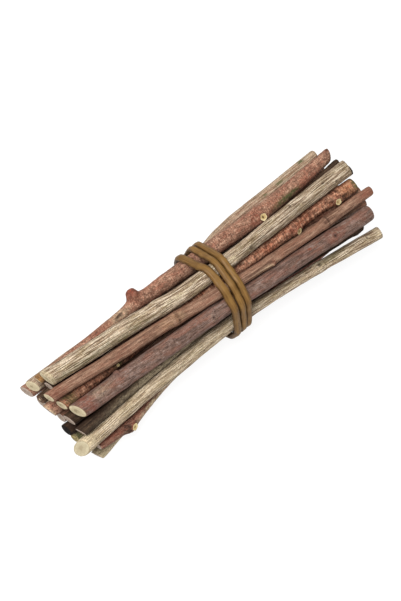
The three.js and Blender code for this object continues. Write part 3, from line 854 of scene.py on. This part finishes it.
def add_stub(pieces, line, rng, offset, x, turn, radius, height, tilt):
    """A side shoot cut off short, with its cut face."""
    middle_y, middle_z, twig_radius = line.at(x)
    turn, tilt = math.radians(turn), math.radians(tilt)
    out = np.array([0, math.sin(turn), math.cos(turn)])
    axis = math.cos(tilt) * out + math.sin(tilt) * np.array([1.0, 0, 0])
    across = np.cross(axis, [1.0, 0, 0])
    across /= np.linalg.norm(across)
    up = np.cross(axis, across)
    foot = np.array([x, middle_y, middle_z]) + out * (twig_radius - STUB_SUNK)
    angle = 2 * math.pi * np.arange(STUB_SIDES) / STUB_SIDES
    uneven = 1 + sum(size * np.sin(count * angle + rng.uniform(0, 6)) for count, size in STUB_WAVES)
    points = []
    for row in range(STUB_ROWS):
        share = row / (STUB_ROWS - 1)
        width = radius * (STUB_FOOT - STUB_TAPER * smooth(share)) * uneven
        rise = share * (height + STUB_SUNK)
        ring = np.outer(width * np.cos(angle), across) + np.outer(width * np.sin(angle), up)
        points.append(foot + rise * axis + ring)
    points = np.concatenate(points)
    first = pieces.add_corners(points, points + offset, core=1.0, **STUB_PAINT)
    pieces.add_tube(first, STUB_ROWS, STUB_SIDES, BARK_PLACE)
    low = first + np.arange(STUB_SIDES)
    top = (STUB_ROWS - 1) * STUB_SIDES
    add_cut(pieces, low, points[:STUB_SIDES], rng, offset, True, 0.0, STUB_PLACE)
    add_cut(pieces, low + top, points[top:], rng, offset, False, -STUB_HOLLOW, STUB_PLACE)


def build_twig(name, number, node, slot, materials):
    """One twig as a fine mesh round its solid's line."""
    line = Line(node)
    marks = MARKS.get(number, [])
    sides, step = (NEAR_SIDES, NEAR_STEP) if number in NEAR_TWIGS else (HIDDEN_SIDES, HIDDEN_STEP)
    skin = Skin(line, dict(zip(BARK_PARTS, BARKS[slot])), number, sides, step)
    for mark in marks:
        skin.add_mark(*mark)
    grid = skin.corners()
    rows = len(grid)
    offset = number * np.array(GRAIN_SHIFT)
    angle = 2 * math.pi * skin.turn[None, :]
    straight = np.stack(np.broadcast_arrays(
        skin.along[:, None], skin.base[:, None] * np.cos(angle), skin.base[:, None] * np.sin(angle)
    ), axis=-1)
    pieces = Pieces()
    pieces.add_corners(
        grid.reshape(-1, 3), straight.reshape(-1, 3) + offset, furrow=skin.furrow.ravel(), core=1.0,
        **{kind: np.clip(paint, 0, 1).ravel() for kind, paint in skin.paint.items()},
    )
    pieces.add_tube(0, rows, sides, BARK_PLACE)
    ring = np.arange(sides)
    add_cut(pieces, ring, grid[0], skin.rng, offset, True)
    add_cut(pieces, (rows - 1) * sides + ring, grid[-1], skin.rng, offset, False)
    for kind, *values in marks:
        if kind == "stub":
            add_stub(pieces, line, skin.rng, offset, *values)
    mesh = pieces.mesh(name + "_mesh", materials)
    add_piece(name + "_bark", mesh, name)
    return line


# The rubber band


def stack_edge(lines, x, width, angle, clearance):
    """The outermost point of the stack near x in the direction of angle, moved out by clearance."""
    best, edge = -math.inf, None
    normal = np.array([math.cos(angle), math.sin(angle)])
    for line in lines:
        for side in (x - width / 2, x + width / 2):
            y, z, radius = line.at(side)
            reach = y * normal[0] + z * normal[1] + radius
            if reach > best:
                best = reach
                edge = np.array([x, y, z]) + (radius + clearance) * np.array([0, *normal])
    return edge


def squeeze(part):
    """The turns bunch together where they pass low round the front."""
    return 1 - BAND_SQUEEZE * math.exp(-(((part - BAND_SQUEEZE_AT) / BAND_SQUEEZE_SPREAD) ** 2))


def between(a, b, share):
    return a + (b - a) * share


def band_route(lines):
    """Points and widths along the band: three turns that change places behind the bundle."""
    points, widths = [], []
    for step in range(BAND_TURNS * BAND_STEPS_PER_TURN):
        turns = step / BAND_STEPS_PER_TURN
        turn = int(turns)
        part = turns - turn
        change = smooth(min(max((part - BAND_CHANGE_START) / (1 - BAND_CHANGE_START), 0), 1))
        following = (turn + 1) % BAND_TURNS
        place = between(BAND_PLACES[turn], BAND_PLACES[following], change)
        width = between(BAND_WIDTHS[turn], BAND_WIDTHS[following], change) * squeeze(part)
        last = turn == BAND_TURNS - 1
        from_flare = part - 1 - BAND_FLARE_AT if last else turns - BAND_FLARE_AT
        flare = BAND_FLARE * math.exp(-((from_flare / BAND_FLARE_LENGTH) ** 2))
        x = BAND_X + place * squeeze(part) - flare
        rise = (BAND_THICKNESS + BAND_CROSSING_GAP) * math.sin(math.pi * change) if last else 0
        angle = 2 * math.pi * part + math.radians(BAND_START_ANGLE)
        sag = BAND_SAGS[turn] * math.exp(-(((part - BAND_SAG_AT) / BAND_SAG_SPREAD) ** 2))
        clearance = BAND_CLEARANCE + BAND_THICKNESS / 2 + rise + sag
        points.append(stack_edge(lines, x, width, angle, clearance))
        widths.append(width)
    return np.array(points), np.array(widths)


def blurred_loop(values, reach):
    """Values round a closed loop, blurred over that many steps."""
    steps = np.arange(len(values))
    steps = np.minimum(steps, len(values) - steps)
    weights = gauss(steps, reach)
    spectrum = np.fft.rfft(values, axis=0) * np.fft.rfft(weights / weights.sum())[:, None]
    return np.fft.irfft(spectrum, len(values), axis=0)


def even_loop(points, widths, spacing):
    """The same closed loop with points at an even spacing."""
    closed = np.vstack([points, points[:1]])
    lengths = np.linalg.norm(np.diff(closed, axis=0), axis=1)
    run = np.concatenate([[0], np.cumsum(lengths)])
    places = np.linspace(0, run[-1], int(run[-1] / spacing), endpoint=False)
    values = np.column_stack([closed, np.append(widths, widths[0])])
    return np.column_stack([np.interp(places, run, values[:, i]) for i in range(4)])


def band_axes(points, lines):
    """Which way is beside the band and which is outward, at each of its points."""
    tangent = np.roll(points, -1, axis=0) - np.roll(points, 1, axis=0)
    tangent /= np.linalg.norm(tangent, axis=1)[:, None]
    middle = np.mean([line.at(BAND_X)[:2] for line in lines], axis=0)
    outward = points - np.array([0, *middle])
    outward[:, 0] = 0
    outward -= (outward * tangent).sum(axis=1)[:, None] * tangent
    outward /= np.linalg.norm(outward, axis=1)[:, None]
    return np.cross(tangent, outward), outward


def bent(values, power):
    """Cosines or sines that stay longer near their ends, which makes a circle squarer."""
    return np.sign(values) * np.abs(values) ** power


def build_band(lines, material):
    """The band: a closed loop with a flattened round section."""
    points, widths = band_route(lines)
    loop = even_loop(points, widths, BAND_SPACING)
    drift = blurred_loop(loop[:, :1], BAND_DRIFT_SMOOTHING / BAND_SPACING)
    loop = blurred_loop(loop, BAND_SMOOTHING / BAND_SPACING)
    points, widths = np.column_stack([drift, loop[:, 1:3]]), loop[:, 3]
    rows = len(points)
    beside, outward = band_axes(points, lines)
    angle = 2 * math.pi * np.arange(BAND_SIDES) / BAND_SIDES
    rng = np.random.default_rng(BAND_SEED)
    uneven = blurred_loop(rng.normal(0, 1, (rows, BAND_SIDES)), BAND_UNEVEN_STEPS)
    uneven = 1 + BAND_UNEVEN * uneven / uneven.std()
    w = (widths[:, None] / 2) * bent(np.cos(angle), BAND_FLATNESS) * uneven
    t = (BAND_THICKNESS / 2) * bent(np.sin(angle), BAND_ROUNDNESS) * uneven
    grid = points[:, None] + w[..., None] * beside[:, None] + t[..., None] * outward[:, None]
    run = np.arange(rows) * BAND_SPACING
    grain = np.stack(np.broadcast_arrays(run[:, None], w, t), axis=-1)
    # How far each point faces outward, which drives the band's painted highlight and painted shade
    outside = np.broadcast_to(0.5 + 0.5 * np.sin(angle), (rows, BAND_SIDES))
    pieces = Pieces()
    pieces.add_corners(grid.reshape(-1, 3), grain.reshape(-1, 3), core=outside.ravel())
    pieces.add_tube(0, rows, BAND_SIDES, place=0, closed=True)
    mesh = pieces.mesh("rubber_band_mesh", [material])
    add_piece("rubber_band_loop", mesh, "rubber_band")


# Materials


class Shader:
    """A material, with its nodes added one by one."""

    def __init__(self, name):
        self.material = bpy.data.materials.new(name)
        self.material.use_nodes = True
        self.tree = self.material.node_tree
        self.surface = self.tree.nodes["Principled BSDF"]

    def feed(self, socket, value):
        """Links a node's output to a socket, or sets the socket to a fixed value."""
        if isinstance(value, bpy.types.NodeSocket):
            self.tree.links.new(value, socket)
        else:
            socket.default_value = value

    def feed_surface(self, **values):
        """Feeds inputs of the surface, whose names have underscores for spaces."""
        for name, value in values.items():
            self.feed(self.surface.inputs[name.replace("_", " ")], value)

    def node(self, kind, inputs, **settings):
        node = self.tree.nodes.new(kind)
        for name, value in settings.items():
            setattr(node, name, value)
        for name, value in inputs.items():
            self.feed(node.inputs[name], value)
        return node

    def attribute(self, name, output="Fac"):
        return self.node("ShaderNodeAttribute", {}, attribute_name=name).outputs[output]

    def stretched(self, vector, factors):
        node = self.node("ShaderNodeVectorMath", {0: vector, 1: factors}, operation="MULTIPLY")
        return node.outputs["Vector"]

    def noise(self, vector, scale, detail, roughness, distortion=0.0):
        inputs = {
            "Vector": vector, "Scale": scale, "Detail": detail, "Roughness": roughness,
            "Distortion": distortion,
        }
        return self.node("ShaderNodeTexNoise", inputs).outputs["Fac"]

    def patterns(self, grain, table):
        """The noises of a table, by name."""
        return {
            name: self.noise(self.stretched(grain, factors), *numbers)
            for name, (factors, *numbers) in table.items()
        }

    def cells(self, vector, scale):
        return self.node("ShaderNodeTexVoronoi", {"Vector": vector, "Scale": scale}).outputs["Distance"]

    def remap(self, value, low, high, to_low, to_high):
        inputs = {"Value": value, "From Min": low, "From Max": high, "To Min": to_low, "To Max": to_high}
        return self.node("ShaderNodeMapRange", inputs, interpolation_type="SMOOTHSTEP").outputs["Result"]

    def maths(self, operation, a, b):
        return self.node("ShaderNodeMath", {0: a, 1: b}, operation=operation).outputs["Value"]

    def mix(self, share, a, b):
        node = self.node("ShaderNodeMix", {}, data_type="RGBA")
        sockets = {socket.name: socket for socket in node.inputs if socket.enabled}
        for name, value in {"Factor": share, "A": a, "B": b}.items():
            self.feed(sockets[name], value)
        return next(socket for socket in node.outputs if socket.enabled)

    def layered(self, colour, patterns, layers, look):
        """Lays a look's colours over one another, each as far as its pattern is full."""
        for pattern, start, full, share, amount, name in layers:
            cover = self.remap(patterns[pattern], start, full, 0, share * look.get(amount, 1))
            colour = self.mix(cover, colour, linear(look[name]))
        return colour

    def shaded(self, colour, factor):
        node = self.node("ShaderNodeVectorMath", {"Vector": colour, "Scale": factor}, operation="SCALE")
        return node.outputs["Vector"]

    def bump(self, height, distance):
        return self.node("ShaderNodeBump", {"Height": height, "Distance": distance}).outputs["Normal"]


def bark_material(name, values):
    """Mottling, furrows, streaks, ridges across the twig, pores, grain and the painted marks."""
    shader = Shader(name)
    bark = dict(zip(BARK_PARTS, values))
    grain = shader.attribute("grain", "Vector")
    drawn = (MOTTLE_STRETCH - MOTTLE_DRAWN * bark["lines"], 1, 1)
    patterns = shader.patterns(grain, BARK_PATTERNS)
    patterns["furrow"] = shader.attribute("furrow")
    patterns["mottle"] = shader.noise(shader.stretched(grain, drawn), *MOTTLE)
    patterns["pores"] = shader.cells(shader.stretched(grain, PORES_STRETCH), PORES_SCALE)

    solid = shader.remap(patterns["mottle"], *SOLID_AT, 1 - bark["mottle"], 1)
    colour = shader.mix(solid, linear(bark["dark"]), linear(bark["base"]))
    colour = shader.layered(colour, patterns, BARK_LAYERS, bark)
    broken = shader.remap(patterns["grit"], *PAINT_BROKEN)
    for kind, paint in PAINTS.items():
        share = shader.maths("MULTIPLY", shader.attribute(kind), broken)
        colour = shader.mix(share, colour, linear(paint))
    shades = [
        shader.remap(patterns[kind], start, full, 1 - darker * bark[kind], 1 + paler * bark[kind])
        for kind, start, full, darker, paler in BARK_SHADES
    ]
    colour = shader.shaded(colour, shader.maths("MULTIPLY", *shades))

    rough = (bark["roughness"] + ROUGHER, bark["roughness"] - SMOOTHER)
    rough = shader.remap(patterns["mottle"], *ROUGH_SPAN, *rough)
    height = patterns["flecks"]
    for kind, share, amount in BARK_HEIGHTS:
        part = shader.maths("MULTIPLY", patterns[kind], share * bark.get(amount, 1))
        height = shader.maths("ADD", height, part)
    shader.feed_surface(
        Base_Color=colour, Roughness=rough, Specular_IOR_Level=BARK_SPECULAR,
        Normal=shader.bump(height, BARK_BUMP),
    )
    return shader.material


def cut_material(name, colours):
    """Cut wood: pale under the bark, duller further in, blotched, with a heart and the bark's edge."""
    shader = Shader(name)
    cut = dict(zip(CUT_PARTS, colours))
    patterns = shader.patterns(shader.attribute("grain", "Vector"), CUT_PATTERNS)
    patterns["core"] = shader.attribute("core")
    shift = shader.remap(patterns["blotches"], *CUT_SHIFT)
    patterns["inward"] = shader.maths("ADD", patterns["core"], shift)
    shader.feed_surface(
        Base_Color=shader.layered(linear(cut["wood"]), patterns, CUT_LAYERS, cut),
        Roughness=CUT_ROUGHNESS, Specular_IOR_Level=CUT_SPECULAR,
        Normal=shader.bump(patterns["fibres"], CUT_BUMP),
    )
    return shader.material


def rubber_material(name):
    """Tan rubber with fine lines along it, with a painted highlight on its outside and painted shade at
    its edges.
    """
    shader = Shader(name)
    patterns = shader.patterns(shader.attribute("grain", "Vector"), RUBBER_PATTERNS)
    shift = shader.remap(patterns["lines"], *RUBBER_SHIFT)
    # Painted highlight on the band's outside and painted shade at its edges, made a little uneven by the
    # lines
    patterns["wear_and_shading"] = shader.maths("ADD", shader.attribute("core"), shift)
    shader.feed_surface(
        Base_Color=shader.layered(linear(RUBBER["dark"]), patterns, RUBBER_LAYERS, RUBBER),
        Roughness=shader.remap(patterns["dust"], *RUBBER_ROUGHNESS),
        Specular_IOR_Level=RUBBER_SPECULAR, Normal=shader.bump(patterns["lines"], RUBBER_BUMP),
    )
    return shader.material


def floor_material(name):
    """A matt floor with a glow of its own, because the photo's is pure white."""
    shader = Shader(name)
    shader.feed_surface(
        Base_Color=linear(FLOOR), Roughness=FLOOR_ROUGHNESS, Specular_IOR_Level=0.0,
        Emission_Color=(1, 1, 1, 1), Emission_Strength=FLOOR_GLOW,
    )
    return shader.material


# Stage


def add_floor():
    mesh = bpy.data.meshes.new("floor_mesh")
    half = FLOOR_HALF
    corners = [(-half, -half, 0), (half, -half, 0), (half, half, 0), (-half, half, 0)]
    mesh.from_pydata(corners, [], [(0, 1, 2, 3)])
    mesh.materials.append(floor_material("floor"))
    floor = bpy.data.objects.new("floor", mesh)
    bpy.context.scene.collection.objects.link(floor)


def aim(thing, target):
    direction = Vector(target) - thing.location
    thing.rotation_euler = direction.to_track_quat("-Z", "Y").to_euler()


def add_softbox(name, place, size, watts):
    light = bpy.data.lights.new(name, "AREA")
    light.shape = "SQUARE"
    light.size = size
    light.energy = watts
    thing = bpy.data.objects.new(name, light)
    thing.location = place
    bpy.context.scene.collection.objects.link(thing)
    aim(thing, (0, 0, 0))


def add_daylight(strength):
    world = bpy.data.worlds.new("studio")
    world.use_nodes = True
    background = world.node_tree.nodes["Background"]
    background.inputs["Color"].default_value = (1, 1, 1, 1)
    background.inputs["Strength"].default_value = strength
    bpy.context.scene.world = world


def add_camera():
    azimuth, elevation = math.radians(CAMERA_AZIMUTH), math.radians(CAMERA_ELEVATION)
    back = Vector((
        math.sin(azimuth) * math.cos(elevation),
        -math.cos(azimuth) * math.cos(elevation),
        math.sin(elevation),
    ))
    target = Vector(CAMERA_TARGET) * MM
    data = bpy.data.cameras.new("camera")
    data.sensor_fit = "VERTICAL"
    data.angle = math.radians(CAMERA_VIEW_ANGLE)
    data.clip_start = CAMERA_CLIP_START * MM
    camera = bpy.data.objects.new("camera", data)
    camera.location = target + back * CAMERA_DISTANCE * MM
    bpy.context.scene.collection.objects.link(camera)
    aim(camera, target)
    bpy.context.scene.camera = camera


def main():
    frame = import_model()
    add_camera()
    add_floor()
    add_daylight(DAYLIGHT)
    add_softbox("key", KEY_PLACE, KEY_SIZE, KEY_WATTS)
    bpy.context.scene.view_settings.view_transform = "Standard"

    slots = {part["node"]: part["material_slot"] for part in frame["record"]["subparts"]}
    barks = {slot: bark_material(slot, bark) for slot, bark in BARKS.items()}
    cuts = {kind: cut_material("cut_" + kind, cut) for kind, cut in CUTS.items()}
    twigs = sorted(name for name in frame["nodes"] if name.startswith("twig_"))
    lines = []
    for name in twigs:
        number = int(name[-2:])
        stub_cut = cuts["knot" if number in KNOTTY_TWIGS else "stub"]
        materials = [barks[slots[name]], cuts[cut_kind(number)], stub_cut]
        lines.append(build_twig(name, number, frame["nodes"][name], slots[name], materials))
    build_band(lines, rubber_material("rubber_tan"))


main()
